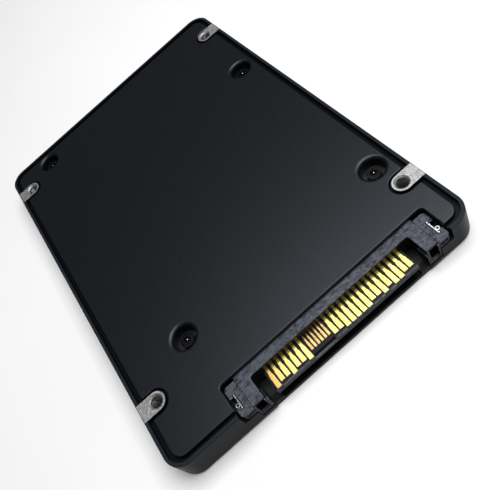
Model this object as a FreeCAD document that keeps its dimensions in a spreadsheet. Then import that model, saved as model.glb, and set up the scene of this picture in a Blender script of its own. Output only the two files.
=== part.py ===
import FreeCAD, Part
import math
import os
import re
import Sketcher

# A 2.5-inch solid state drive, 7 mm high, with a U.2 drive plug.
# Frame: X across the width, Y along the length with the plug at -Y, Z up.
# The label side lies on Z = 0 and the mounting side, with the cover plate, faces +Z.
# The origin is the bottom centre of the case. All lengths are millimetres.

SIZES = {
    # case: outline and rim
    "case_width": 69.85,
    "case_length": 100.2,
    "case_height": 7.0,
    "case_corner": 4.0,
    "case_wall": 2.4,
    "case_floor": 0.9,
    "lower_round": 0.8,
    "rim_wall": 0.75,
    "rim_round": 0.25,
    "ledge_level": 5.95,
    "inner_corner": 2.0,
    # standard mounting holes, M3 coarse
    "hole_across": 61.72,
    "hole_to_plug_end": 14.0,
    "hole_spacing": 76.6,
    "thread_bore": 1.25,
    "thread_depth": 4.2,
    "thread_lead_in": 0.32,
    "side_hole_level": 4.0,
    "side_hole_depth": 2.5,
    "land_radius": 2.02,
    "land_end": 0.4,
    "boss_radius": 3.2,
    # cover plate
    "cover_side": 33.2,
    "cover_end": 48.35,
    "cover_corner": 2.3,
    "cover_top": 6.9,
    "cover_round": 0.25,
    "notch_gap": 0.5,
    "notch_round": 0.4,
    "cutout_half": 24.45,
    "cutout_rear": -42.65,
    "cutout_corner": 0.8,
    # dished recesses and cover screws, M2
    "dish_radius": 2.5,
    "dish_floor": 4.35,
    "dish_wall": 0.7,
    "dish_round": 0.85,
    "dish_gap": 0.15,
    "near_left_x": -19.7,
    "near_left_y": -29.1,
    "near_right_x": 29.5,
    "near_right_y": -29.0,
    "far_right_x": 29.4,
    "far_right_y": 20.3,
    "far_left_x": -23.1,
    "far_left_y": 44.7,
    "screw_head": 1.6,
    "screw_head_height": 1.05,
    "screw_shank": 0.98,
    "screw_length": 2.9,
    "screw_passage": 1.15,
    "screw_bore": 1.0,
    "screw_bore_floor": 1.2,
    "post_radius": 2.4,
    "drive_core": 0.6,
    "drive_lobe": 0.2,
    "drive_depth": 0.6,
    "drive_pin": 0.2,
    # main board
    "board_side": 32.0,
    "board_near": -47.2,
    "board_far": 47.0,
    "board_low": 3.0,
    "board_top": 4.0,
    "board_corner": 1.6,
    "board_boss_gap": 0.4,
    # drive plug
    "plug_offset": 4.8,
    "plug_body_half": 21.55,
    "plug_body_front": -44.8,
    "plug_body_rear": -41.3,
    "plug_front": -49.95,
    "plug_low": 1.0,
    "plug_top": 5.9,
    "mouth_half": 18.95,
    "mouth_floor": 1.5,
    "tongue_half": 16.715,
    "tongue_front": -49.65,
    "key_left": -7.55,
    "key_right": -2.7,
    "key_front": -48.95,
    "key_level": 3.4,
    "wing_half": 24.25,
    "wing_low": 4.05,
    "wing_top": 5.75,
    "wing_rear": -43.1,
    "wing_round": 0.8,
    "plug_round": 0.15,
    "mouth_corner": 0.5,
    "roof_front": -49.6,
    "step_groove": 0.12,
    "tongue_bevel": 0.3,
    "ramp_rear": -49.2,
    "guide_wall": 0.35,
    "guide_rear": -45.6,
    "guide_low": 1.95,
    "guide_top": 5.5,
    "side_rib": 0.3,
    "side_rib_rear": -47.2,
    "side_rib_top": 4.5,
    "latch_low": 4.3,
    "latch_high": 5.25,
    "latch_outer": 23.5,
    "latch_inner": 21.65,
    "latch_rear": -48.95,
    # opening of the case for the plug
    "opening_half": 24.6,
    "opening_shelf": 3.85,
    "lip_half": 21.65,
    "lip_level": 1.55,
    "lip_rear": -48.3,
    "lip_gap_half": 16.6,
    "scallop_half": 18.6,
    "scallop_depth": 0.3,
    # contacts
    "contact_pitch": 1.27,
    "contact_half": 0.475,
    "contact_mid_half": 0.43,
    "contact_neck_half": 0.3,
    "contact_shoulder": -46.6,
    "contact_taper": 0.45,
    "contact_long": -49.25,
    "contact_short": -48.7,
    "contact_thick": 0.115,
    "contact_tail": -39.7,
    "contact_slit_gap": 0.02,
    "fine_pitch": 0.8,
    "sideband_half": 0.25,
    "sideband_mid_half": 0.23,
    "sideband_neck_half": 0.16,
    "sideband_front": -48.1,
    "underside_half": 0.21,
    "underside_mid_half": 0.2,
    "underside_front": -49.1,
    # board locks
    "lock_slot_outer": 23.5,
    "lock_slot_inner": 22.85,
    "lock_slot_near": -48.5,
    "lock_slot_far": -45.05,
    "lock_notch_near": -47.95,
    "lock_notch_far": -45.6,
    "lock_x": 23.17,
    "lock_half_thick": 0.1,
    "lock_half_length": 1.5,
    "lock_middle": -46.78,
    "lock_top": 5.7,
    "lock_bead": 0.18,
    "lock_inner_bead": 0.95,
    "lock_outer_bead": 1.45,
    "lock_curl": 0.45,
    "lock_curl_hole": 0.24,
    "lock_curl_x": 23.66,
    "lock_curl_y": -47.35,
    "lock_leg_middle": -46.1,
    "lock_leg_half": 0.5,
    "lock_leg_gap": 0.1,
    "lock_leg_low": 2.4,
    # chips and small parts on the board
    "flash_width": 13.5,
    "flash_length": 18.0,
    "flash_height": 1.1,
    "controller_side": 19.0,
    "controller_base": 0.5,
    "controller_lid_side": 15.5,
    "controller_height": 1.3,
    "memory_width": 9.0,
    "memory_length": 13.0,
    "memory_height": 1.0,
    "power_chip_side": 5.0,
    "power_chip_height": 0.9,
    "switch_chip_side": 3.0,
    "switch_chip_height": 0.8,
    "boot_chip_width": 6.0,
    "boot_chip_length": 5.0,
    "boot_chip_height": 0.8,
    "clock_width": 3.2,
    "clock_length": 2.5,
    "clock_height": 0.8,
    "sensor_side": 2.0,
    "sensor_height": 0.7,
    "inductor_side": 4.2,
    "inductor_height": 1.8,
    "inductor_corner": 0.5,
    "holdup_width": 4.3,
    "holdup_length": 7.3,
    "holdup_height": 1.85,
    "ceramic_width": 0.8,
    "ceramic_length": 1.6,
    "ceramic_height": 0.8,
    "resistor_width": 0.5,
    "resistor_length": 1.0,
    "resistor_height": 0.35,
    # thermal pads, tray platforms and label
    "heat_pad_margin": 1.0,
    "lower_pad_thick": 0.5,
    "label_side": 29.5,
    "label_end": 43.0,
    "label_thick": 0.12,
    "label_recess": 0.15,
    "label_gap": 0.3,
    "label_corner": 2.0,
}

HOLE_X = "hole_across / 2"
NEAR_Y = "hole_to_plug_end - case_length / 2"
FAR_Y = "hole_to_plug_end + hole_spacing - case_length / 2"
SCREWS = ("near_left", "near_right", "far_right", "far_left")

# wide contacts of the plug, long and short, and where each row's first one is across the tongue
SIGNAL_ROW = "LSSLSSL"
SIGNAL_FIRST = "-12.5 * contact_pitch"
POWER_ROW = "SSLLLLLSSLSLLSS"
POWER_FIRST = "-1.5 * contact_pitch"

# Places on the board, as the middle of each part.
FLASH_PLACES = [(x, y) for x in (-15.0, 13.0) for y in (12.0, 32.5)]
MEMORY_PLACES = [(-14.8, -13.5), (20.0, -17.5)]
HOLDUP_PLACES = [(-29.0, 8.0 * step - 26.0) for step in range(8)]
HOLDUP_PLACES += [(29.2, 8.0 * step - 20.0) for step in range(5)]
INDUCTOR_PLACES = [(5.5 * step - 25.0, -37.0) for step in range(4)]
SWITCH_PLACES = [(-2.0, -35.5), (2.5, -35.5)]
CONTROLLER_PLACE = (3.0, -20.0)
POWER_CHIP_PLACE = (-11.5, -27.5)
BOOT_CHIP_PLACE = (12.0, -35.0)
CLOCK_PLACE = (19.0, -34.5)
SENSOR_PLACE = (24.0, -33.5)
UPPER_CERAMIC_PLACES = [(x, 2.4 * step - 6.0) for x in (-5.2, -2.8, -0.4, 2.0) for step in range(12)]
LOWER_CERAMIC_PLACES = [(2.5 * step - 12.0, y) for y in (-12.0, -16.0, -20.0, -24.0) for step in range(10)]
RESISTOR_PLACES = [(1.8 * step + 6.0, y) for y in (-38.2, -31.2) for step in range(9)]

doc = FreeCAD.newDocument("solid_state_drive")
parts = []


# ---------------------------------------------------------------- tools


def write_sizes():
    """Puts every driving dimension in the sheet, one row each, under its own alias."""
    sheet = doc.addObject("Spreadsheet::Sheet", "Sizes")
    for row, (alias, number) in enumerate(SIZES.items(), start=1):
        sheet.set(f"A{row}", alias)
        sheet.set(f"B{row}", str(number))
        sheet.setAlias(f"B{row}", alias)
    doc.recompute()


def formula(text):
    """The text with each alias written as the sheet's own cell."""
    return re.sub(r"[a-z_]+", lambda word: ("Sizes." if word.group() in SIZES else "") + word.group(), text)


def value(text):
    """What a formula comes to, as a plain number."""
    return float(doc.getObject("Sizes").evalExpression(formula(text)))


def bind(item, target, text):
    """Ties one property of an object to a formula of the sheet."""
    item.setExpression(target, formula(text))


def keep(item, label):
    """Names a finished sub-part and puts it on the list to write."""
    item.Label = label
    parts.append(item)
    return item


def new_body(label):
    return doc.addObject("PartDesign::Body", label)


def sketch_on(body, name, role, offset):
    """An empty sketch on one of the body's own planes, moved along its normal."""
    sketch = body.newObject("Sketcher::SketchObject", name)
    plane = next(item for item in body.Origin.OriginFeatures if item.Role == role)
    sketch.AttachmentSupport = [(plane, "")]
    sketch.MapMode = "FlatFace"
    bind(sketch, "AttachmentOffset.Base.z", offset)
    return sketch


def limit(sketch, kind, line, point, text):
    """Ties one point of a curve to the sketch's origin by a formula."""
    index = sketch.addConstraint(Sketcher.Constraint(kind, -1, 1, line, point, value(text)))
    name = f"limit_{index}"
    sketch.renameConstraint(index, name)
    bind(sketch, "Constraints." + name, text)


def set_radius(sketch, curve, radius):
    index = sketch.addConstraint(Sketcher.Constraint("Radius", curve, value(radius)))
    sketch.renameConstraint(index, f"radius_{index}")
    bind(sketch, f"Constraints.radius_{index}", radius)


def add_rectangle(sketch, left, right, low, high):
    """Four lines, each starting where the one before it ends."""
    first = sketch.GeometryCount
    x = (value(left), value(right))
    y = (value(low), value(high))
    corners = [FreeCAD.Vector(*point, 0) for point in ((x[0], y[0]), (x[1], y[0]), (x[1], y[1]), (x[0], y[1]))]
    for number in range(4):
        sketch.addGeometry(Part.LineSegment(corners[number], corners[(number + 1) % 4]), False)
    for number in range(4):
        following = first + (number + 1) % 4
        sketch.addConstraint(Sketcher.Constraint("Coincident", first + number, 2, following, 1))
        kind = ("Horizontal", "Vertical")[number % 2]
        sketch.addConstraint(Sketcher.Constraint(kind, first + number))
    limit(sketch, "DistanceX", first, 1, left)
    limit(sketch, "DistanceY", first, 1, low)
    limit(sketch, "DistanceX", first + 2, 1, right)
    limit(sketch, "DistanceY", first + 2, 1, high)


def add_rounded_rectangle(sketch, left, right, low, high, radius):
    """Four lines and four equal arcs, each tangent to the next."""
    first = sketch.GeometryCount
    corner = value(radius)
    x = (value(left), value(left) + corner, value(right) - corner, value(right))
    y = (value(low), value(low) + corner, value(high) - corner, value(high))
    lines = [((1, 0), (2, 0)), ((3, 1), (3, 2)), ((2, 3), (1, 3)), ((0, 2), (0, 1))]
    middles = [(2, 1), (2, 2), (1, 2), (1, 1)]
    for number, ends in enumerate(lines):
        start, finish = [FreeCAD.Vector(x[i], y[j], 0) for i, j in ends]
        sketch.addGeometry(Part.LineSegment(start, finish), False)
        i, j = middles[number]
        circle = Part.Circle(FreeCAD.Vector(x[i], y[j], 0), FreeCAD.Vector(0, 0, 1), corner)
        turn = math.pi / 2
        sketch.addGeometry(Part.ArcOfCircle(circle, (number - 1) * turn, number * turn), False)
    for number in range(4):
        line = first + 2 * number
        following = first + (2 * number + 2) % 8
        sketch.addConstraint(Sketcher.Constraint(("Horizontal", "Vertical")[number % 2], line))
        sketch.addConstraint(Sketcher.Constraint("Tangent", line, 2, line + 1, 1))
        sketch.addConstraint(Sketcher.Constraint("Tangent", line + 1, 2, following, 1))
        if number:
            sketch.addConstraint(Sketcher.Constraint("Equal", first + 1, line + 1))
    limit(sketch, "DistanceY", first, 1, low)
    limit(sketch, "DistanceX", first + 2, 1, right)
    limit(sketch, "DistanceY", first + 4, 1, high)
    limit(sketch, "DistanceX", first + 6, 1, left)
    set_radius(sketch, first + 1, radius)


def add_polygon(sketch, points):
    """Straight sides through points that are given as formulas for X and Y."""
    first = sketch.GeometryCount
    corners = [FreeCAD.Vector(value(x), value(y), 0) for x, y in points]
    for start, finish in zip(corners, corners[1:] + corners[:1]):
        sketch.addGeometry(Part.LineSegment(start, finish), False)
    for number, (x, y) in enumerate(points):
        following = first + (number + 1) % len(points)
        sketch.addConstraint(Sketcher.Constraint("Coincident", first + number, 2, following, 1))
        limit(sketch, "DistanceX", first + number, 1, x)
        limit(sketch, "DistanceY", first + number, 1, y)


def add_circle(sketch, x, y, radius):
    circle = Part.Circle(FreeCAD.Vector(value(x), value(y), 0), FreeCAD.Vector(0, 0, 1), value(radius))
    index = sketch.addGeometry(circle, False)
    limit(sketch, "DistanceX", index, 3, x)
    limit(sketch, "DistanceY", index, 3, y)
    set_radius(sketch, index, radius)


def draw(sketch, outlines):
    """Circles as (x, y, radius), rectangles as (left, right, low, high[, corner radius]), lists of points."""
    makers = {3: add_circle, 4: add_rectangle, 5: add_rounded_rectangle}
    for outline in outlines:
        if isinstance(outline, list):
            add_polygon(sketch, outline)
        else:
            makers[len(outline)](sketch, *outline)


def add(body, name, low, high, outlines):
    """Adds material between two levels."""
    sketch = sketch_on(body, name + "_outline", "XY_Plane", low)
    draw(sketch, outlines)
    pad = body.newObject("PartDesign::Pad", name)
    pad.Profile = sketch
    bind(pad, "Length", f"({high}) - ({low})")
    doc.recompute()


def remove(body, name, low, high, outlines, role="XY_Plane"):
    """Takes material away between two levels and checks that something went."""
    before = body.Shape.Volume
    sketch = sketch_on(body, name + "_outline", role, high)
    draw(sketch, outlines)
    pocket = body.newObject("PartDesign::Pocket", name)
    pocket.Profile = sketch
    bind(pocket, "Length", f"({high}) - ({low})")
    doc.recompute()
    if body.Shape.Volume > before - 1e-6:
        raise RuntimeError(f"{body.Name}: {name} cut nothing")


def dress(body, kind, name, size, wanted):
    """A fillet or chamfer on every edge of the body that the test picks out."""
    base = body.Tip
    edges = [f"Edge{n}" for n, edge in enumerate(body.Shape.Edges, start=1) if wanted(edge)]
    if not edges:
        raise RuntimeError(f"{body.Name}: {name} found no edge")
    feature = body.newObject("PartDesign::" + kind, name)
    feature.Base = (base, edges)
    bind(feature, "Radius" if kind == "Fillet" else "Size", size)
    doc.recompute()


def is_upright(edge):
    box = edge.BoundBox
    return box.ZLength > 0.01 and box.XLength < 1e-4 and box.YLength < 1e-4


def is_level(edge, height):
    box = edge.BoundBox
    return abs(box.ZMin - height) < 1e-4 and abs(box.ZMax - height) < 1e-4


def near(length, target):
    return abs(length - target) < 1e-3


def is_circle(edge, radius):
    return isinstance(edge.Curve, Part.Circle) and near(edge.Curve.Radius, radius)


def both_sides(low, high, near_end, far_end, middle="0"):
    """Two rectangles, mirror images of each other about a middle line."""
    return [
        (f"{middle} + ({low})", f"{middle} + ({high})", near_end, far_end),
        (f"{middle} - ({high})", f"{middle} - ({low})", near_end, far_end),
    ]


def hole_circles(radius):
    """One circle on each of the four mounting holes."""
    return [(f"{sign}{HOLE_X}", y, radius) for sign in ("", "-") for y in (NEAR_Y, FAR_Y)]


def screw_circles(radius):
    """One circle on each of the four cover screws."""
    return [(f"{place}_x", f"{place}_y", radius) for place in SCREWS]


def box(name, low, size):
    """A block from its low corner and its three sizes."""
    item = doc.addObject("Part::Box", name)
    for axis, text in zip("xyz", low):
        bind(item, "Placement.Base." + axis, text)
    for side, text in zip(("Length", "Width", "Height"), size):
        bind(item, side, text)
    return item


def cylinder(name, base, radius, height):
    """An upright cylinder from the middle of its base."""
    item = doc.addObject("Part::Cylinder", name)
    for axis, text in zip("xyz", base):
        bind(item, "Placement.Base." + axis, text)
    bind(item, "Radius", radius)
    bind(item, "Height", height)
    return item


def fuse(name, shapes):
    item = doc.addObject("Part::MultiFuse", name)
    item.Shapes = shapes
    return item


def cut(name, base, tool):
    item = doc.addObject("Part::Cut", name)
    item.Base = base
    item.Tool = tool
    return item


def group(label, members):
    """Separate solids of one kind, kept together as one sub-part."""
    item = doc.addObject("Part::Compound", label)
    item.Links = members
    return keep(item, label)


def chip(name, place, size, level):
    """A block centred on its place on the board, standing on a level."""
    width, length, height = size
    low = (f"{place[0]} - ({width}) / 2", f"{place[1]} - ({length}) / 2", level)
    return box(name, low, (width, length, height))


def chips(label, places, size, level):
    """One sub-part of equal blocks, one on each place."""
    return group(label, [chip(f"{label}_{n}", place, size, level) for n, place in enumerate(places)])


def one_chip(label, place, size, level):
    return keep(chip(label, place, size, level), label)


# ---------------------------------------------------------------- case


def case_tray():
    """Cast tray: label-side floor, walls, rim, mounting bosses and board posts."""
    body = new_body("case_tray")
    side = "case_width / 2"
    end = "case_length / 2"
    add(body, "outline", "0", "case_height", [(f"-{side}", side, f"-{end}", end, "case_corner")])
    dress(body, "Fillet", "lower_edge", "lower_round", lambda edge: is_level(edge, 0))
    top = SIZES["case_height"]
    dress(body, "Fillet", "rim_edge", "rim_round", lambda edge: is_level(edge, top))
    hollow_tray(body, side, end)
    mounting_bosses(body)
    screw_posts(body)
    mounting_holes(body)
    heat_platforms(body)
    plug_opening(body)
    return keep(body, "case_tray")


def hollow_tray(body, side, end):
    """The recess that takes the cover, the room below it, and the label's recess."""
    recess_side = f"({side} - rim_wall)"
    recess_end = f"({end} - rim_wall)"
    recess = [(f"-{recess_side}", recess_side, f"-{recess_end}", recess_end, "case_corner - rim_wall")]
    remove(body, "cover_recess", "ledge_level", "case_height", recess)
    room_side = f"({side} - case_wall)"
    room_end = f"({end} - case_wall)"
    room = [(f"-{room_side}", room_side, f"-{room_end}", room_end, "inner_corner")]
    remove(body, "room", "case_floor", "ledge_level", room)
    bed_side = "(label_side + label_gap)"
    bed_end = "(label_end + label_gap)"
    bed = [(f"-{bed_side}", bed_side, f"-{bed_end}", bed_end, "label_corner + label_gap")]
    remove(body, "label_bed", "0", "label_recess", bed)


def mounting_bosses(body):
    """Four bosses below the ledge and four machined lands flush with the rim."""
    add(body, "bosses", "case_floor", "ledge_level", hole_circles("boss_radius"))
    add(body, "land_ends", "ledge_level", "case_height", hole_circles("land_radius"))
    for place, y in (("near", NEAR_Y), ("far", FAR_Y)):
        strips = both_sides(HOLE_X, "case_width / 2 - land_end", f"{y} - land_radius", f"{y} + land_radius")
        add(body, f"{place}_lands", "ledge_level", "case_height", strips)


def screw_posts(body):
    """Posts that carry the board, with room for the cover's dished recesses above them."""
    dish = "dish_radius + dish_wall + dish_gap"
    remove(body, "dish_room", "board_top", "ledge_level", screw_circles(dish))
    add(body, "posts", "case_floor", "board_low", screw_circles("post_radius"))
    remove(body, "post_bores", "screw_bore_floor", "board_low", screw_circles("screw_bore"))


def mounting_holes(body):
    """Threaded holes: four down from the mounting side and two in from each long side."""
    remove(body, "lower_holes", "case_height - thread_depth", "case_height", hole_circles("thread_bore"))
    top = SIZES["case_height"]
    bore = SIZES["thread_bore"]
    dress(body, "Chamfer", "hole_lead_ins", "thread_lead_in",
          lambda edge: is_circle(edge, bore) and is_level(edge, top))
    circles = [(y, "side_hole_level", "thread_bore") for y in (NEAR_Y, FAR_Y)]
    wall = "case_width / 2"
    remove(body, "right_holes", f"{wall} - side_hole_depth", wall, circles, "YZ_Plane")
    remove(body, "left_holes", f"-{wall}", f"side_hole_depth - {wall}", circles, "YZ_Plane")


def heat_platforms(body):
    """Raised floors that reach up to the thermal pads of the lower flash chips."""
    half_x = "(flash_width / 2 - heat_pad_margin)"
    half_y = "(flash_length / 2 - heat_pad_margin)"
    outlines = [(f"{x} - {half_x}", f"{x} + {half_x}", f"{y} - {half_y}", f"{y} + {half_y}")
                for x, y in FLASH_PLACES]
    add(body, "platforms", "case_floor", "board_low - flash_height - lower_pad_thick", outlines)


def plug_opening(body):
    """The end wall is stepped down where the drive plug passes through it."""
    end = "-case_length / 2"
    inside = "case_wall - case_length / 2"
    wide = [("plug_offset - opening_half", "plug_offset + opening_half", end, inside)]
    remove(body, "wing_shelf", "opening_shelf", "case_height", wide)
    middle = ("plug_offset - lip_half", "plug_offset + lip_half")
    remove(body, "lip_top", "lip_level", "opening_shelf", [(*middle, end, inside)])
    remove(body, "lip_inner", "case_floor", "lip_level", [(*middle, "lip_rear", inside)])
    gap = [("plug_offset - lip_gap_half", "plug_offset + lip_gap_half", end, "lip_rear")]
    remove(body, "lip_gap", "case_floor", "lip_level", gap)
    scallop = [("plug_offset - scallop_half", "plug_offset + scallop_half", end, f"{end} + scallop_depth")]
    remove(body, "scallop", "0", "lip_level", scallop)


def cover_plate():
    """Pressed plate with a rolled edge, notches for the lands and four dished recesses."""
    body = new_body("cover_plate")
    outline = [("-cover_side", "cover_side", "-cover_end", "cover_end", "cover_corner")]
    add(body, "outline", "ledge_level", "cover_top", outline)
    around = "land_radius + notch_gap"
    remove(body, "notch_ends", "ledge_level", "cover_top", hole_circles(around))
    for place, y in (("near", NEAR_Y), ("far", FAR_Y)):
        strips = both_sides(HOLE_X, "case_width / 2", f"{y} - ({around})", f"{y} + ({around})")
        remove(body, f"{place}_notches", "ledge_level", "cover_top", strips)
    side = SIZES["cover_side"]
    dress(body, "Fillet", "notch_corners", "notch_round",
          lambda edge: is_upright(edge) and near(abs(edge.CenterOfMass.x), side)
          and abs(edge.CenterOfMass.y) < SIZES["cover_end"] - 2 * SIZES["cover_corner"])
    cutout = [("plug_offset - cutout_half", "plug_offset + cutout_half", "-case_length / 2", "cutout_rear")]
    remove(body, "plug_cutout", "ledge_level", "cover_top", cutout)
    rear = SIZES["cutout_rear"]
    dress(body, "Fillet", "cutout_corners", "cutout_corner",
          lambda edge: is_upright(edge) and near(edge.CenterOfMass.y, rear))
    add(body, "dish_walls", "board_top", "(ledge_level + cover_top) / 2", screw_circles("dish_radius + dish_wall"))
    remove(body, "dishes", "dish_floor", "cover_top", screw_circles("dish_radius"))
    remove(body, "screw_holes", "board_top", "dish_floor", screw_circles("screw_passage"))
    top = SIZES["cover_top"]
    dish = SIZES["dish_radius"]
    dress(body, "Fillet", "dish_edges", "dish_round",
          lambda edge: is_circle(edge, dish) and is_level(edge, top))
    rolled = SIZES["dish_radius"] + SIZES["dish_round"]
    dress(body, "Fillet", "rolled_edge", "cover_round",
          lambda edge: is_level(edge, top) and not is_circle(edge, rolled))
    return keep(body, "cover_plate")


def cover_screws():
    """Four M2 pan-head screws with a six-lobed recess round a centre pin."""
    screws = []
    for place in SCREWS:
        x = f"{place}_x"
        y = f"{place}_y"
        head = cylinder(f"{place}_head", (x, y, "dish_floor"), "screw_head", "screw_head_height")
        shank = cylinder(f"{place}_shank", (x, y, "dish_floor - screw_length"), "screw_shank", "screw_length")
        blank = fuse(f"{place}_blank", [head, shank])
        level = "dish_floor + screw_head_height - drive_depth"
        tools = [cylinder(f"{place}_core", (x, y, level), "drive_core - drive_lobe / 2", "drive_depth + 1")]
        for lobe in range(6):
            lobe_x = f"{x} + drive_core * cos({60 * lobe} deg)"
            lobe_y = f"{y} + drive_core * sin({60 * lobe} deg)"
            tools.append(cylinder(f"{place}_lobe_{lobe}", (lobe_x, lobe_y, level), "drive_lobe", "drive_depth + 1"))
        star = fuse(f"{place}_star", tools)
        pin = cylinder(f"{place}_pin", (x, y, level), "drive_pin", "drive_depth + 1")
        recess = cut(f"{place}_recess", star, pin)
        short_pin = cylinder(f"{place}_pin_top", (x, y, f"{level} + drive_depth"), "drive_pin", "1")
        screws.append(cut(f"{place}_screw", blank, fuse(f"{place}_tool", [recess, short_pin])))
    return group("cover_screws", screws)


def product_label():
    """Blank sheet in the label recess, a little inside the recess's edge."""
    body = new_body("product_label")
    add(body, "sheet", "label_recess - label_thick", "label_recess",
        [("-label_side", "label_side", "-label_end", "label_end", "label_corner")])
    return keep(body, "product_label")


# ---------------------------------------------------------------- board


def main_board():
    """Board with a notch for the plug, clearance round the bosses and four screw holes."""
    body = new_body("main_board")
    outline = [("-board_side", "board_side", "board_near", "board_far", "board_corner")]
    add(body, "sheet", "board_low", "board_top", outline)
    notch = ("plug_offset - plug_body_half - 0.2", "plug_offset + plug_body_half + 0.2")
    remove(body, "plug_notch", "board_low", "board_top", [(*notch, "-case_length / 2", "plug_body_rear + 0.1")])
    room = "boss_radius + board_boss_gap"
    for place, y in (("near", NEAR_Y), ("far", FAR_Y)):
        strips = both_sides(f"{HOLE_X} - ({room})", "case_width / 2", f"{y} - ({room})", f"{y} + ({room})")
        remove(body, f"{place}_boss_notches", "board_low", "board_top", strips)
    remove(body, "screw_holes", "board_low", "board_top", screw_circles("screw_passage"))
    leg_x = "lock_half_thick + lock_leg_gap"
    leg_y = "(lock_leg_half + lock_leg_gap)"
    leg = both_sides(f"lock_x - ({leg_x})", f"lock_x + {leg_x}",
                     f"lock_leg_middle - {leg_y}", f"lock_leg_middle + {leg_y}", "plug_offset")
    remove(body, "lock_slots", "board_low", "board_top", leg)
    return keep(body, "main_board")


def board_parts():
    """Everything soldered to the two faces of the board."""
    flash = ("flash_width", "flash_length", "flash_height")
    chips("upper_flash_chips", FLASH_PLACES, flash, "board_top")
    chips("lower_flash_chips", FLASH_PLACES, flash, "board_low - flash_height")
    chips("memory_chips", MEMORY_PLACES, ("memory_width", "memory_length", "memory_height"), "board_top")
    power = ("power_chip_side", "power_chip_side", "power_chip_height")
    one_chip("power_manager_chip", POWER_CHIP_PLACE, power, "board_top")
    switch = ("switch_chip_side", "switch_chip_side", "switch_chip_height")
    chips("load_switch_chips", SWITCH_PLACES, switch, "board_top")
    boot = ("boot_chip_width", "boot_chip_length", "boot_chip_height")
    one_chip("boot_memory_chip", BOOT_CHIP_PLACE, boot, "board_top")
    one_chip("clock_oscillator", CLOCK_PLACE, ("clock_width", "clock_length", "clock_height"), "board_top")
    one_chip("temperature_sensor", SENSOR_PLACE, ("sensor_side", "sensor_side", "sensor_height"), "board_top")
    holdup = ("holdup_width", "holdup_length", "holdup_height")
    chips("holdup_capacitors", HOLDUP_PLACES, holdup, "board_top")
    ceramic = ("ceramic_length", "ceramic_width", "ceramic_height")
    chips("upper_ceramic_capacitors", UPPER_CERAMIC_PLACES, ceramic, "board_top")
    chips("lower_ceramic_capacitors", LOWER_CERAMIC_PLACES, ceramic, "board_low - ceramic_height")
    resistor = ("resistor_length", "resistor_width", "resistor_height")
    chips("chip_resistors", RESISTOR_PLACES, resistor, "board_top")


def controller_chip():
    """Square carrier with a smaller metal lid on it."""
    carrier = ("controller_side", "controller_side", "controller_base")
    lid = ("controller_lid_side", "controller_lid_side", "controller_height - controller_base")
    base = chip("controller_carrier", CONTROLLER_PLACE, carrier, "board_top")
    top = chip("controller_lid", CONTROLLER_PLACE, lid, "board_top + controller_base")
    return keep(fuse("controller_chip", [base, top]), "controller_chip")


def power_inductors():
    """Moulded coils, each with its upright corners cut off."""
    coils = []
    for number, (x, y) in enumerate(INDUCTOR_PLACES):
        body = new_body(f"inductor_{number}")
        half = "inductor_side / 2"
        outline = (f"{x} - {half}", f"{x} + {half}", f"{y} - {half}", f"{y} + {half}")
        add(body, f"coil_{number}", "board_top", "board_top + inductor_height", [outline])
        dress(body, "Chamfer", f"coil_{number}_corners", "inductor_corner", is_upright)
        coils.append(body)
    return group("power_inductors", coils)


def thermal_pads():
    """Soft pads that fill the gap from the chips to the cover or to the tray's platforms."""
    flash = ("flash_width - 2 * heat_pad_margin", "flash_length - 2 * heat_pad_margin")
    level = "board_top + flash_height"
    chips("upper_flash_pads", FLASH_PLACES, (*flash, f"ledge_level - ({level})"), level)
    level = "board_low - flash_height - lower_pad_thick"
    chips("lower_flash_pads", FLASH_PLACES, (*flash, "lower_pad_thick"), level)
    lid = "controller_lid_side - heat_pad_margin"
    level = "board_top + controller_height"
    one_chip("controller_pad", CONTROLLER_PLACE, (lid, lid, f"ledge_level - ({level})"), level)


# ---------------------------------------------------------------- drive plug


def connector_housing():
    """Moulded drive plug: rear wall, tongue, end blocks with guide notches, and wings."""
    body = new_body("connector_housing")
    centre = "plug_offset"
    half = "plug_body_half"
    add(body, "rear_wall", "plug_low", "plug_top",
        [(f"{centre} - {half}", f"{centre} + {half}", "plug_body_front", "plug_body_rear")])
    add(body, "end_blocks", "lip_level + 0.05", "plug_top",
        both_sides("mouth_half", half, "plug_front", "plug_body_front", centre))
    add(body, "mouth_base", "plug_low", "mouth_floor",
        [(f"{centre} - {half}", f"{centre} + {half}", "lip_rear + 0.05", "plug_body_front")])
    add(body, "block_feet", "mouth_floor", "lip_level + 0.05",
        both_sides("mouth_half", half, "lip_rear + 0.05", "plug_body_front", centre))
    tongue = [(f"{centre} - tongue_half", f"{centre} + tongue_half", "tongue_front", "plug_body_front")]
    add(body, "tongue", "board_low", "board_top", tongue)
    key = [(f"{centre} + key_left", f"{centre} + key_right", "tongue_front", "key_front")]
    remove(body, "tongue_key", "key_level", "board_top", key)
    wings(body, centre, half)
    guide_notches(body, centre, half)
    contact_slits(body, centre)
    contact_ramps(body, centre)
    mouth = SIZES["mouth_half"]
    rear = SIZES["plug_body_front"]
    dress(body, "Fillet", "mouth_corners", "mouth_corner",
          lambda edge: is_upright(edge) and near(edge.CenterOfMass.y, rear)
          and near(abs(edge.CenterOfMass.x - SIZES["plug_offset"]), mouth))
    top = SIZES["plug_top"]
    step = SIZES["plug_body_half"]
    dress(body, "Fillet", "soft_edges", "plug_round",
          lambda edge: is_level(edge, top) and not near(abs(edge.CenterOfMass.x - SIZES["plug_offset"]), step))
    return keep(body, "connector_housing")


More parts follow.
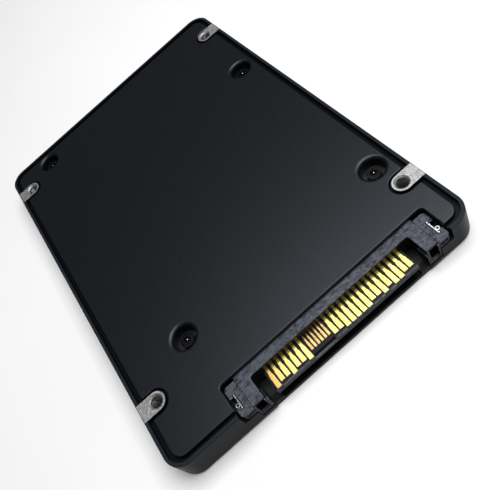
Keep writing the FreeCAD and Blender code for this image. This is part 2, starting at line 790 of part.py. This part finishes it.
def wings(body, centre, half):
    """Outer ends of the plug, with a slot for each board lock and a latch slot in front."""
    add(body, "wings", "wing_low", "wing_top", both_sides(half, "wing_half", "plug_front", "wing_rear", centre))
    outer = SIZES["wing_half"]
    dress(body, "Fillet", "wing_corners", "wing_round",
          lambda edge: is_upright(edge) and near(abs(edge.CenterOfMass.x - SIZES["plug_offset"]), outer))
    slots = both_sides("lock_slot_inner", "lock_slot_outer", "lock_slot_near", "lock_slot_far", centre)
    remove(body, "lock_slots", "wing_low", "wing_top", slots)
    notches = both_sides("lock_slot_outer", "wing_half", "lock_notch_near", "lock_notch_far", centre)
    remove(body, "lock_notches", "wing_low", "wing_top", notches)
    latches = both_sides("latch_inner", "latch_outer", "plug_front", "latch_rear", centre)
    remove(body, "latch_slots", "latch_low", "latch_high", latches)
    grooves = both_sides(half, f"{half} + step_groove", "plug_front", "wing_rear", centre)
    remove(body, "step_grooves", "latch_high", "wing_top", grooves)


def guide_notches(body, centre, half):
    """Blind guide holes in the end blocks, open to the front under a set-back roof, and a rib beside the mouth."""
    outer = f"{half} - guide_wall"
    inner = "mouth_half + guide_wall"
    remove(body, "guides", "guide_low", "guide_top",
           both_sides(inner, outer, "plug_front", "guide_rear", centre))
    remove(body, "roof_fronts", "guide_top", "plug_top",
           both_sides("mouth_half", half, "plug_front", "roof_front", centre))
    ribs = both_sides("mouth_half - side_rib", "mouth_half", "plug_front", "side_rib_rear", centre)
    add(body, "mouth_ribs", "lip_level + 0.05", "side_rib_top", ribs)


def contact_ramps(body, centre):
    """The tongue's front edge is bevelled, apart from a square ramp before each run of short contacts."""
    top = SIZES["board_top"]
    front = SIZES["tongue_front"]
    dress(body, "Chamfer", "tongue_edge", "tongue_bevel",
          lambda edge: is_level(edge, top) and near(edge.CenterOfMass.y, front))
    ramps = []
    for letters, first in ((SIGNAL_ROW, SIGNAL_FIRST), (POWER_ROW, POWER_FIRST)):
        for run in re.finditer("S+", letters):
            left, right = [f"{centre} + ({first}) + ({end} - 0.5) * contact_pitch" for end in run.span()]
            ramps.append((left, right, "tongue_front", "ramp_rear"))
    add(body, "ramps", "board_top - tongue_bevel", "board_top", ramps)


def contact_slits(body, centre):
    """Two thin slits through the rear wall, above and below the tongue, for the contacts."""
    slit = [(f"{centre} - tongue_half", f"{centre} + tongue_half", "plug_body_front", "plug_body_rear")]
    remove(body, "upper_slit", "board_top", "board_top + contact_thick + contact_slit_gap", slit)
    remove(body, "lower_slit", "board_low - contact_thick - contact_slit_gap", "board_low", slit)


def contact(name, front, halves, level):
    """One stamped contact, centred on X = 0: a blade that narrows to a shoulder, and a slim tail."""
    half, mid_half, neck_half = halves
    neck = "contact_shoulder + contact_taper"
    right = [(half, front), (mid_half, "contact_shoulder"), (neck_half, neck), (neck_half, "contact_tail")]
    left = [(f"-{x}", y) for x, y in reversed(right)]
    body = new_body(name)
    add(body, f"{name}_blade", level, f"{level} + contact_thick", [right + left])
    return body


def row(label, pattern, masters, first, pitch):
    """Copies of the master contacts side by side, one for each letter of the pattern."""
    copies = []
    for number, letter in enumerate(pattern):
        link = doc.addObject("App::Link", f"{label}_{number}")
        link.LinkedObject = masters[letter]
        bind(link, "Placement.Base.x", f"plug_offset + ({first}) + {number} * {pitch}")
        copies.append(link)
    return group(label, copies)


def contacts():
    """Wide contacts of two lengths, fine sideband contacts, and the row below the tongue."""
    wide = ("contact_half", "contact_mid_half", "contact_neck_half")
    fine = ("sideband_half", "sideband_mid_half", "sideband_neck_half")
    under = ("underside_half", "underside_mid_half", "sideband_neck_half")
    masters = {
        "L": contact("long_contact", "contact_long", wide, "board_top"),
        "S": contact("short_contact", "contact_short", wide, "board_top"),
        "E": contact("fine_contact", "sideband_front", fine, "board_top"),
        "U": contact("under_contact", "underside_front", under, "board_low - contact_thick"),
    }
    row("signal_contacts", SIGNAL_ROW, masters, SIGNAL_FIRST, "contact_pitch")
    row("sideband_contacts", "EEEEEE", masters, "-4 * contact_pitch - 2.5 * fine_pitch", "fine_pitch")
    row("power_contacts", POWER_ROW, masters, POWER_FIRST, "contact_pitch")
    row("underside_contacts", "U" * 40, masters, "-19.5 * fine_pitch", "fine_pitch")


def board_lock(label, side):
    """Spring plate with four beads and a curled lug, and a leg through the board."""
    middle = f"plug_offset {side} lock_x"
    plate = box(f"{label}_plate",
                (f"{middle} - lock_half_thick", "lock_middle - lock_half_length", "board_top + 0.1"),
                ("2 * lock_half_thick", "2 * lock_half_length", "lock_top - board_top - 0.1"))
    leg = box(f"{label}_leg",
              (f"{middle} - lock_half_thick", "lock_leg_middle - lock_leg_half", "lock_leg_low"),
              ("2 * lock_half_thick", "2 * lock_leg_half", "lock_top - lock_leg_low"))
    beads = []
    for distance in ("lock_inner_bead", "lock_outer_bead"):
        for sign in "-+":
            y = f"lock_middle {sign} {distance}"
            beads.append(cylinder(f"{label}_bead_{len(beads)}", (middle, y, "board_top + 0.1"),
                                  "lock_bead", "lock_top - board_top"))
    curl_x = f"plug_offset {side} lock_curl_x"
    curl = cylinder(f"{label}_curl", (curl_x, "lock_curl_y", "board_top + 0.1"),
                    "lock_curl", "lock_top - board_top - 0.2")
    hole = cylinder(f"{label}_curl_hole", (curl_x, "lock_curl_y", "board_top"),
                    "lock_curl_hole", "lock_top")
    lug = cut(f"{label}_lug", curl, hole)
    return keep(fuse(label, [plate, leg, lug] + beads), label)


# ---------------------------------------------------------------- writing


def check_document():
    """Stops on any object that failed and on any sub-part that is empty or invalid."""
    failed = [item.Name for item in doc.Objects if {"Invalid", "Error"} & set(item.State)]
    if failed:
        raise RuntimeError("failed objects: " + ", ".join(failed))
    for item in parts:
        if item.Shape.isNull() or not item.Shape.isValid():
            raise RuntimeError("bad shape: " + item.Label)


def write_parts():
    os.makedirs("parts", exist_ok=True)
    for item in parts:
        item.Shape.exportStep(f"parts/{item.Label}.step")
        print(f"{item.Label:28s} solids {len(item.Shape.Solids):3d}  volume {item.Shape.Volume:10.3f} mm3")


write_sizes()
case_tray()
cover_plate()
cover_screws()
product_label()
main_board()
board_parts()
controller_chip()
power_inductors()
thermal_pads()
connector_housing()
contacts()
board_lock("board_lock_left", "-")
board_lock("board_lock_right", "+")
doc.recompute()
check_document()
write_parts()
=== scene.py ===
"""Looks of a thin 2.5-inch solid state drive, lying label side down with its cover and plug in view."""
import math

import bmesh
import bpy
from mathutils import Euler, Matrix, Vector


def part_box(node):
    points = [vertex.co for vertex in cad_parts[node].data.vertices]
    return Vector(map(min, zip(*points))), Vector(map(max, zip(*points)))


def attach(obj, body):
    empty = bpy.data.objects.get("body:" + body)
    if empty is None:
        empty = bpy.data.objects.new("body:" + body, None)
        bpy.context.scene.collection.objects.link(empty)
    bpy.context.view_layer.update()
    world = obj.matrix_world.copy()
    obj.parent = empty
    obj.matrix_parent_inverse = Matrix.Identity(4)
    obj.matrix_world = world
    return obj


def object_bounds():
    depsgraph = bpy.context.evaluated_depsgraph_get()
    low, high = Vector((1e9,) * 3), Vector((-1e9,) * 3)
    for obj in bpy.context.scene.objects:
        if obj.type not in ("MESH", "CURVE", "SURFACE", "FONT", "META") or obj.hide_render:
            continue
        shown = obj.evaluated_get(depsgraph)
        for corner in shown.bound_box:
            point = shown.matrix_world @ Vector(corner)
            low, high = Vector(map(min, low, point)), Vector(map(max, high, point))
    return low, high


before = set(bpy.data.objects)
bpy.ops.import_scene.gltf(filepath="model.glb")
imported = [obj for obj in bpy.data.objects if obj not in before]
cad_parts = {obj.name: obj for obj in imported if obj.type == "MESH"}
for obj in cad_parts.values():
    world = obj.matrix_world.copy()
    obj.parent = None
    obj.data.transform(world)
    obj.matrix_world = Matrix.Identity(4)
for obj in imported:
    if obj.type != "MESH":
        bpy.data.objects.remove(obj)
CAD_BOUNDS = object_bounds()

MM = 0.001

# The lengths below are in millimetres, in the frame of the CAD model.
TOP = CAD_BOUNDS[1][2] / MM
WALL_X = CAD_BOUNDS[1][0] / MM
EDGE_MARGIN = 0.02

# tapped holes in the face that looks up and in the side walls
HOLE_X = 30.86
HOLE_YS = (-36.1, 40.5)
SIDE_HOLE_Z = 4.0
BORE_RADIUS = 1.25
BORE_FLOOR = 2.8
LEAD_IN = 0.34

# M3 threads: first and last depth below the mouth, and half the ridge's width at its root and its crest
BOTTOM_THREAD = (0.55, 3.9)
SIDE_THREAD = (0.25, 2.25)
THREAD_PITCH = 0.5
THREAD_STEPS = 28
CREST_RADIUS = 1.13
ROOT_HALF = 0.21
CREST_HALF = 0.05

# bare machined lands round the holes in the top, and the heights over which the rim's top is painted lighter
# as a painted highlight
LAND_RADIUS = 2.02
LAND_HEIGHT = 6.96
CUTTER_STEP = 0.42
RIM_HIGHLIGHT_LOW = 6.5
RIM_HIGHLIGHT_HIGH = 6.95

# cover screws, in the same places as in the CAD, with the domed tips of their centre pins
SCREW_PLACES = ((-19.7, -29.1), (29.5, -29.0), (29.4, 20.3), (-23.1, 44.7))
PIN_RADIUS = 0.2
PIN_RISE = 0.1
PIN_STEPS = 4
PIN_SIDES = 20

# plug: the height from which its top faces are painted lighter as painted light, its front ledge, and where
# the contacts tarnish
LIT_TOP_LOW = 5.5
LIT_TOP_HIGH = 5.65
TONGUE_LEDGE = -49.2
LEDGE_FADE = 0.05
TARNISH_FROM = -8.8
TARNISH_TO = -11.4
TARNISH_MOST = 0.75

# paint reflects the studio a little bluer than white
PAINT_TINT = (0.84, 0.92, 1.0, 1)


class Surface:
    """One procedural material: short methods that add nodes and link them up."""

    # the mix node's sockets for each kind of value: first input, second input, output
    MIX_SOCKETS = {"FLOAT": (2, 3, 0), "VECTOR": (4, 5, 1), "RGBA": (6, 7, 2)}

    def __init__(self, name):
        self.material = bpy.data.materials.new(name)
        self.material.use_nodes = True
        self.tree = self.material.node_tree
        self.shader = self.tree.nodes["Principled BSDF"]
        self.place = self.millimetres()

    def node(self, kind, values=(), **settings):
        made = self.tree.nodes.new(kind)
        for name, setting in settings.items():
            setattr(made, name, setting)
        for number, value in enumerate(values):
            self.feed(made.inputs[number], value)
        return made

    def feed(self, socket, value):
        """Links another node's output to the socket, or sets the socket's own value."""
        if isinstance(value, bpy.types.NodeSocket):
            self.tree.links.new(value, socket)
        elif value is not None:
            socket.default_value = value

    def set(self, **values):
        """Values or links for the shader's own sockets, named with underscores."""
        for name, value in values.items():
            socket_name = name.replace("_", " ").title().replace("Ior", "IOR")
            self.feed(self.shader.inputs[socket_name], value)
        return self

    def millimetres(self):
        """The point's place in the object's frame, in millimetres."""
        here = self.node("ShaderNodeTexCoord").outputs["Object"]
        scaled = self.node("ShaderNodeVectorMath", (here, None, None, 1 / MM), operation="SCALE")
        return scaled.outputs[0]

    def stretched(self, stretch):
        """The point's place, multiplied along each axis."""
        made = self.node("ShaderNodeVectorMath", (self.place, stretch), operation="MULTIPLY")
        return made.outputs[0]

    def axes(self, vector=None):
        """The three parts of a vector, or of the point's place."""
        return self.node("ShaderNodeSeparateXYZ", (vector or self.place,)).outputs

    def maths(self, operation, *values):
        return self.node("ShaderNodeMath", values, operation=operation).outputs[0]

    def length(self, first, second):
        """The length of a vector with these two parts."""
        squared = self.maths("MULTIPLY_ADD", first, first, self.maths("MULTIPLY", second, second))
        return self.maths("SQRT", squared)

    def noise(self, per_mm, detail=2.0, stretch=(1, 1, 1), rough=0.5):
        """Noise from 0 to 1, with so many features to a millimetre, stretched along each axis."""
        made = self.node("ShaderNodeTexNoise", (self.stretched(stretch),))
        made.inputs["Scale"].default_value = per_mm
        made.inputs["Detail"].default_value = detail
        made.inputs["Roughness"].default_value = rough
        return made.outputs["Fac"]

    def cells(self, per_mm, stretch=(1, 1, 1)):
        """Distance to the nearest of many scattered points."""
        made = self.node("ShaderNodeTexVoronoi", (self.stretched(stretch),))
        made.inputs["Scale"].default_value = per_mm
        return made.outputs["Distance"]

    def span(self, value, low, high, to_low=0.0, to_high=1.0):
        """The value remapped from one range to another, and clamped."""
        return self.node("ShaderNodeMapRange", (value, low, high, to_low, to_high)).outputs[0]

    def mix(self, factor, first, second, kind="FLOAT"):
        """A mix of two numbers, two vectors or two colours."""
        first_socket, second_socket, result = self.MIX_SOCKETS[kind]
        made = self.node("ShaderNodeMix", data_type=kind)
        self.feed(made.inputs[0], factor)
        self.feed(made.inputs[first_socket], first)
        self.feed(made.inputs[second_socket], second)
        return made.outputs[result]

    def blend(self, factor, first, second):
        """A mix of two colours."""
        return self.mix(factor, first, second, "RGBA")

    def shade(self, value, dark, light, low=0.35, high=0.65):
        """A colour that runs from dark to light over the middle of a noise."""
        return self.blend(self.span(value, low, high), dark, light)

    def gloss(self, value, at_low, at_high):
        """Roughness that runs from one value to another over nearly all of a noise."""
        return self.span(value, 0.3, 0.7, at_low, at_high)

    def bump(self, height, depth_mm, strength=1.0, normal=None):
        """Relief of that depth, on top of an earlier one."""
        made = self.node("ShaderNodeBump")
        made.inputs["Strength"].default_value = strength
        made.inputs["Distance"].default_value = depth_mm * MM
        self.feed(made.inputs["Height"], height)
        self.feed(made.inputs["Normal"], normal)
        return made.outputs[0]

    def give(self, *nodes):
        """Puts the material on CAD nodes, in place of what they came with."""
        for name in nodes:
            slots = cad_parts[name].data.materials
            slots.clear()
            slots.append(self.material)
        return self


def grey(level):
    return (level, level, level, 1)


def skin(shape, rings):
    """Faces from each ring of corners to the next, and one across each end."""
    for before, after in zip(rings, rings[1:]):
        for corner in range(len(before)):
            other = (corner + 1) % len(before)
            shape.faces.new((before[corner], before[other], after[other], after[corner]))
    shape.faces.new(rings[0][::-1])
    shape.faces.new(rings[-1])


def add_piece(name, shape, surface):
    """Makes an object from a finished shape and gives it the surface's material."""
    mesh = bpy.data.meshes.new(name)
    shape.to_mesh(mesh)
    shape.free()
    mesh.materials.append(surface.material)
    piece = bpy.data.objects.new(name, mesh)
    bpy.context.scene.collection.objects.link(piece)
    return piece


# ---------------------------------------------------------------- case


def painted(surface, dark, light, smooth, rough):
    """Matt paint: fine sandy grain in its relief, its colour and its gloss."""
    speck = surface.noise(3.0, detail=4, rough=0.7)
    colour = surface.shade(speck, (*dark, 1), (*light, 1))
    gloss = surface.gloss(surface.noise(2.0, detail=5, rough=0.7), smooth, rough)
    grain = surface.bump(surface.noise(3.2, detail=4, rough=0.7), 0.035, 0.6)
    return colour, gloss, grain


def bare_lands(surface):
    """A mask, 1 on the machined lands and in the holes in the top, and the distance from a hole's axis."""
    x, y, z = surface.axes()
    middle = sum(HOLE_YS) / 2
    spread = (HOLE_YS[1] - HOLE_YS[0]) / 2
    across = surface.maths("SUBTRACT", surface.maths("ABSOLUTE", x), HOLE_X)
    from_middle = surface.maths("ABSOLUTE", surface.maths("SUBTRACT", y, middle))
    along = surface.maths("SUBTRACT", from_middle, spread)
    radius = surface.length(across, along)
    # a land is round on its inner side and runs straight out to the wall
    reach = surface.length(surface.maths("MINIMUM", across, 0.0), along)
    inside = surface.maths("LESS_THAN", reach, LAND_RADIUS - EDGE_MARGIN)
    on_top = surface.maths("GREATER_THAN", z, LAND_HEIGHT)
    land = surface.maths("MULTIPLY", inside, on_top)
    in_bore = surface.maths("LESS_THAN", radius, BORE_RADIUS + LEAD_IN)
    in_depth = surface.maths("GREATER_THAN", z, BORE_FLOOR - EDGE_MARGIN)
    hole = surface.maths("MULTIPLY", in_bore, in_depth)
    return surface.maths("MAXIMUM", land, hole), radius


def tray_paint():
    """Black paint, painted lighter at the rim's top as a painted highlight, with bare metal turned by a
    cutter on the lands and painted shade down the bores.
    """
    surface = Surface("tray_paint")
    colour, gloss, grain = painted(surface, dark=(0.0014, 0.0017, 0.0026), light=(0.0030, 0.0035, 0.0048),
                                   smooth=0.34, rough=0.44)
    # painted highlight: the rim's top gets a lighter colour that stands in for the light it catches
    painted_light_mask = surface.span(surface.axes()[2], RIM_HIGHLIGHT_LOW, RIM_HIGHLIGHT_HIGH)
    colour = surface.blend(painted_light_mask, colour, (0.014, 0.017, 0.021, 1))
    bare, radius = bare_lands(surface)
    turning = surface.maths("SINE", surface.maths("MULTIPLY", radius, 2 * math.pi / CUTTER_STEP))
    scratch = surface.noise(2.2, detail=5, rough=0.65)
    swirl = surface.maths("MULTIPLY_ADD", turning, 0.045, scratch)
    metal = surface.shade(swirl, (0.26, 0.26, 0.26, 1), (0.50, 0.50, 0.49, 1), 0.38, 0.62)
    bore_shade = surface.span(radius, BORE_RADIUS + EDGE_MARGIN, BORE_RADIUS - 2 * EDGE_MARGIN)
    metal = surface.blend(bore_shade, metal, grey(0.05))
    cut = surface.bump(swirl, 0.010, 0.45)
    surface.set(base_color=surface.blend(bare, colour, metal), metallic=bare,
                specular_ior_level=0.08, specular_tint=PAINT_TINT,
                roughness=surface.mix(bare, gloss, surface.gloss(scratch, 0.48, 0.64)),
                normal=surface.mix(bare, grain, cut, "VECTOR"))
    surface.give("case_tray")


def cover_paint():
    """The same paint on the cover, a little glossier."""
    surface = Surface("cover_paint")
    colour, gloss, grain = painted(surface, dark=(0.0012, 0.0017, 0.0028), light=(0.0030, 0.0037, 0.0054),
                                   smooth=0.33, rough=0.39)
    surface.set(base_color=colour, roughness=gloss, specular_ior_level=0.42, specular_tint=PAINT_TINT,
                normal=grain)
    surface.give("cover_plate")


def screw_steel():
    """Dark plated steel, worn lighter and rougher in patches."""
    surface = Surface("screw_steel")
    wear = surface.noise(2.5, detail=5)
    surface.set(base_color=surface.shade(wear, grey(0.008), grey(0.02), high=0.7), metallic=0.9,
                roughness=surface.gloss(wear, 0.24, 0.4), normal=surface.bump(wear, 0.01, 0.4))
    surface.give("cover_screws")


def pin_tips():
    """Domed bright tips on the centre pins of the four cover screws, worn clear of their plating."""
    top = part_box("cover_screws")[1][2] / MM
    dome = [(PIN_RADIUS * math.cos(angle), PIN_RISE * math.sin(angle))
            for angle in (math.pi / 2 * step / PIN_STEPS for step in range(PIN_STEPS))]
    turns = [2 * math.pi * step / PIN_SIDES for step in range(PIN_SIDES)]
    shape = bmesh.new()
    for x, y in SCREW_PLACES:
        rings = []
        for radius, rise in [(PIN_RADIUS, -PIN_RISE)] + dome:
            corners = [Vector((x + radius * math.cos(turn), y + radius * math.sin(turn), top + rise))
                       for turn in turns]
            rings.append([shape.verts.new(corner * MM) for corner in corners])
        skin(shape, rings)
    for face in shape.faces:
        face.smooth = len(face.verts) == 4
    surface = Surface("worn_steel")
    wear = surface.noise(6.0, detail=3)
    surface.set(base_color=surface.blend(wear, grey(0.40), grey(0.60)), metallic=1.0,
                roughness=surface.gloss(wear, 0.2, 0.34), normal=surface.bump(wear, 0.004, 0.3))
    piece = add_piece("pin_tips", shape, surface)
    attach(piece, "root")


def label_film():
    """Blank white film with a faint mottle."""
    surface = Surface("label_film")
    mottle = surface.noise(1.5, detail=4)
    surface.set(base_color=surface.shade(mottle, (0.70, 0.71, 0.72, 1), (0.78, 0.79, 0.79, 1)),
                roughness=surface.gloss(mottle, 0.32, 0.42), normal=surface.bump(mottle, 0.01, 0.2))
    surface.give("product_label")


def thread_ridge(shape, mouth, inward, depths):
    """One M3 thread standing in from the wall of a bore, as a helix from one depth to another."""
    start, finish = depths
    turn = Vector((0, 0, 1)).rotation_difference(Vector(inward)).to_matrix()
    root = BORE_RADIUS + EDGE_MARGIN
    profile = ((root, -ROOT_HALF), (CREST_RADIUS, -CREST_HALF), (CREST_RADIUS, CREST_HALF), (root, ROOT_HALF))
    steps = int((finish - start) / THREAD_PITCH * THREAD_STEPS)
    rings = []
    for step in range(steps + 1):
        angle = 2 * math.pi * step / THREAD_STEPS
        depth = start + THREAD_PITCH * step / THREAD_STEPS
        ring = []
        for radius, rise in profile:
            local = Vector((radius * math.cos(angle), radius * math.sin(angle), depth + rise))
            ring.append(shape.verts.new((Vector(mouth) + turn @ local) * MM))
        rings.append(ring)
    skin(shape, rings)


def hole_threads():
    """Threads in the four holes in the top and the four side holes."""
    shape = bmesh.new()
    for side in (-1, 1):
        for y in HOLE_YS:
            thread_ridge(shape, (side * HOLE_X, y, TOP), (0, 0, -1), BOTTOM_THREAD)
            thread_ridge(shape, (side * WALL_X, y, SIDE_HOLE_Z), (-side, 0, 0), SIDE_THREAD)
    bmesh.ops.recalc_face_normals(shape, faces=shape.faces)
    surface = Surface("thread_metal")
    smear = surface.noise(4.0, detail=4)
    surface.set(base_color=surface.shade(smear, grey(0.10), grey(0.38)), metallic=1.0,
                roughness=surface.gloss(smear, 0.24, 0.44), normal=surface.bump(smear, 0.008, 0.4))
    piece = add_piece("hole_threads", shape, surface)
    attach(piece, "root")


# ---------------------------------------------------------------- plug


def plug_plastic():
    """Glass-filled plastic: its own mottled grey-blue shows only on its top faces and front ledge as painted
    light, and it is near black elsewhere as painted shade in the mouth and on the sides.
    """
    surface = Surface("plug_plastic")
    mottle = surface.noise(1.6, detail=6, stretch=(0.6, 1, 1), rough=0.65)
    fibres = surface.noise(5.0, detail=3, stretch=(0.35, 1, 1))
    tone = surface.maths("MULTIPLY_ADD", mottle, 0.65, surface.maths("MULTIPLY", fibres, 0.35))
    lit_plastic = surface.shade(tone, (0.008, 0.010, 0.017, 1), (0.088, 0.097, 0.122, 1), 0.38, 0.60)
    # painted light and shade: high faces that look up and the front ledge get the lighter plastic, and every
    # other face is painted near black as shade
    normal = surface.node("ShaderNodeNewGeometry").outputs["Normal"]
    facing_up = surface.span(surface.axes(normal)[2], 0.3, 0.8)
    high = surface.span(surface.axes()[2], LIT_TOP_LOW, LIT_TOP_HIGH)
    front = surface.span(surface.axes()[1], TONGUE_LEDGE, TONGUE_LEDGE - LEDGE_FADE)
    lit_tops = surface.maths("MULTIPLY", high, facing_up)
    ledge = surface.maths("MULTIPLY", front, facing_up)
    painted_light_mask = surface.maths("MAXIMUM", lit_tops, ledge)
    colour = surface.blend(painted_light_mask, (0.0012, 0.0013, 0.0018, 1), lit_plastic)
    pits = surface.bump(surface.noise(9.0, detail=3), 0.02, 0.35, surface.bump(tone, 0.03, 0.3))
    surface.set(base_color=colour, roughness=surface.gloss(mottle, 0.5, 0.38), specular_ior_level=0.2,
                normal=pits)
    surface.give("connector_housing")


def gold_plate(name, dark, light, nodes):
    """Gold plate with wipe marks, turned orange at the left end of the row."""
    surface = Surface(name)
    wipe = surface.noise(4.0, detail=4, stretch=(4, 0.6, 1))
    patch = surface.noise(0.5, detail=2)
    tone = surface.maths("MULTIPLY_ADD", wipe, 0.5, surface.maths("MULTIPLY", patch, 0.5))
    colour = surface.shade(tone, dark, light)
    tarnish = surface.span(surface.axes()[0], TARNISH_FROM, TARNISH_TO, 0.0, TARNISH_MOST)
    surface.set(base_color=surface.blend(tarnish, colour, (0.62, 0.36, 0.11, 1)), metallic=1.0,
                roughness=surface.gloss(wipe, 0.2, 0.36), normal=surface.bump(wipe, 0.006, 0.4))
    surface.give(*nodes)


def contact_gold():
    """Gold on the wide contacts, and a browner gold on the fine ones in the middle."""
    gold_plate("contact_gold", (0.58, 0.46, 0.13, 1), (0.80, 0.67, 0.23, 1),
               ("signal_contacts", "power_contacts", "underside_contacts"))
    gold_plate("fine_contact_gold", (0.38, 0.24, 0.10, 1), (0.66, 0.46, 0.19, 1), ("sideband_contacts",))


def lock_steel():
    """Bright sheet metal, wiped along its height."""
    surface = Surface("lock_steel")
    wipe = surface.noise(4.0, detail=4, stretch=(1, 1, 4))
    surface.set(base_color=surface.shade(wipe, grey(0.3), grey(0.6), 0.3, 0.7), metallic=1.0,
                roughness=surface.gloss(wipe, 0.16, 0.32), normal=surface.bump(wipe, 0.01, 0.4))
    surface.give("board_lock_left", "board_lock_right")


# ---------------------------------------------------------------- board


def board_laminate():
    """Solder mask over copper tracks, with the weave of the laminate under it."""
    surface = Surface("board_laminate")
    weave = surface.noise(3.0, detail=2)
    tracks = surface.span(surface.cells(0.45, stretch=(1, 0.25, 1)), 0.16, 0.2)
    mask = surface.blend(tracks, (0.010, 0.012, 0.012, 1), (0.004, 0.005, 0.005, 1))
    relief = surface.bump(tracks, 0.03, 0.5, surface.bump(weave, 0.01, 0.3))
    surface.set(base_color=mask, roughness=surface.gloss(weave, 0.24, 0.36), normal=relief)
    surface.give("main_board")


def speckled(name, nodes, dark, light, smooth, rough, per_mm=6.0, metallic=0.0, depth_mm=0.015):
    """A plain body with a fine grain: moulded chips, ceramics, pads and pressed metal."""
    surface = Surface(name)
    grain = surface.noise(per_mm, detail=4, rough=0.6)
    surface.set(base_color=surface.shade(grain, (*dark, 1), (*light, 1)), metallic=metallic,
                roughness=surface.gloss(grain, smooth, rough), normal=surface.bump(grain, depth_mm, 0.4))
    surface.give(*nodes)


def board_part_finishes():
    speckled("chip_epoxy",
             ("upper_flash_chips", "lower_flash_chips", "memory_chips", "power_manager_chip",
              "load_switch_chips", "boot_memory_chip", "temperature_sensor"),
             (0.010, 0.010, 0.011), (0.026, 0.026, 0.028), 0.42, 0.6)
    speckled("controller_lid", ("controller_chip",),
             (0.40, 0.40, 0.41), (0.60, 0.60, 0.61), 0.26, 0.42, per_mm=3.0, metallic=1.0, depth_mm=0.006)
    speckled("clock_can", ("clock_oscillator",),
             (0.48, 0.46, 0.40), (0.70, 0.68, 0.60), 0.22, 0.36, metallic=1.0)
    speckled("polymer_capacitor", ("holdup_capacitors",),
             (0.016, 0.015, 0.014), (0.035, 0.033, 0.030), 0.4, 0.55)
    speckled("ceramic_capacitor", ("upper_ceramic_capacitors", "lower_ceramic_capacitors"),
             (0.20, 0.13, 0.075), (0.36, 0.25, 0.16), 0.34, 0.5)
    speckled("resistor_body", ("chip_resistors",),
             (0.012, 0.012, 0.015), (0.030, 0.030, 0.036), 0.3, 0.45)
    speckled("coil_powder", ("power_inductors",),
             (0.045, 0.045, 0.046), (0.11, 0.11, 0.11), 0.5, 0.7, depth_mm=0.03)
    speckled("heat_pad", ("upper_flash_pads", "lower_flash_pads", "controller_pad"),
             (0.16, 0.21, 0.27), (0.24, 0.30, 0.36), 0.7, 0.85, per_mm=3.0, depth_mm=0.04)


# ---------------------------------------------------------------- studio


def floor():
    """A plain pale floor, level with the side that the drive lies on."""
    surface = Surface("studio_floor")
    mottle = surface.noise(0.02, detail=3)
    surface.set(base_color=surface.blend(mottle, grey(0.80), grey(0.86)), roughness=0.7)
    shape = bmesh.new()
    bmesh.ops.create_grid(shape, x_segments=1, y_segments=1, size=2.0)
    plane = add_piece("studio_floor", shape, surface)


def soft_light(name, watts, size, place_mm, target_mm=(0, 0, 0)):
    """A square softbox that faces its target."""
    data = bpy.data.lights.new(name, "AREA")
    data.energy = watts
    data.size = size
    lamp = bpy.data.objects.new(name, data)
    lamp.location = Vector(place_mm) * MM
    aim = Vector(target_mm) * MM - lamp.location
    lamp.rotation_euler = aim.to_track_quat("-Z", "Y").to_euler()
    bpy.context.scene.collection.objects.link(lamp)


def studio():
    """A large softbox above and to the right, facing down, a weak one from the right, and a dim surround."""
    soft_light("overhead", 4.3, 0.5, (170, -50, 500), (170, -50, 0))
    soft_light("right_fill", 0.1, 0.30, (420, -260, 160))
    world = bpy.data.worlds.new("studio")
    world.use_nodes = True
    background = world.node_tree.nodes["Background"]
    background.inputs["Color"].default_value = (0.95, 0.97, 1.0, 1)
    background.inputs["Strength"].default_value = 0.10
    bpy.context.scene.world = world
    bpy.context.scene.view_settings.view_transform = "Standard"


def camera():
    """Close above the plug end, looking down at the cover and rolled so that the drive lies on a diagonal."""
    place = Vector((-0.24, -98.94, 102.38))
    elevation = math.radians(50.44)
    azimuth = math.radians(0.1)
    roll = math.radians(-41.65)
    data = bpy.data.cameras.new("camera")
    data.lens = 44.6
    data.sensor_width = 36.0
    data.shift_x = 0.0209
    data.shift_y = -0.0041
    data.clip_start = 0.01
    data.clip_end = 10.0
    eye = bpy.data.objects.new("camera", data)
    level = Euler((math.pi / 2 - elevation, 0, -azimuth)).to_matrix()
    turned = level @ Matrix.Rotation(roll, 3, "Z")
    eye.matrix_world = Matrix.Translation(place * MM) @ turned.to_4x4()
    bpy.context.scene.collection.objects.link(eye)
    bpy.context.scene.camera = eye


camera()
tray_paint()
cover_paint()
screw_steel()
pin_tips()
label_film()
hole_threads()
plug_plastic()
contact_gold()
lock_steel()
board_laminate()
board_part_finishes()
floor()
studio()
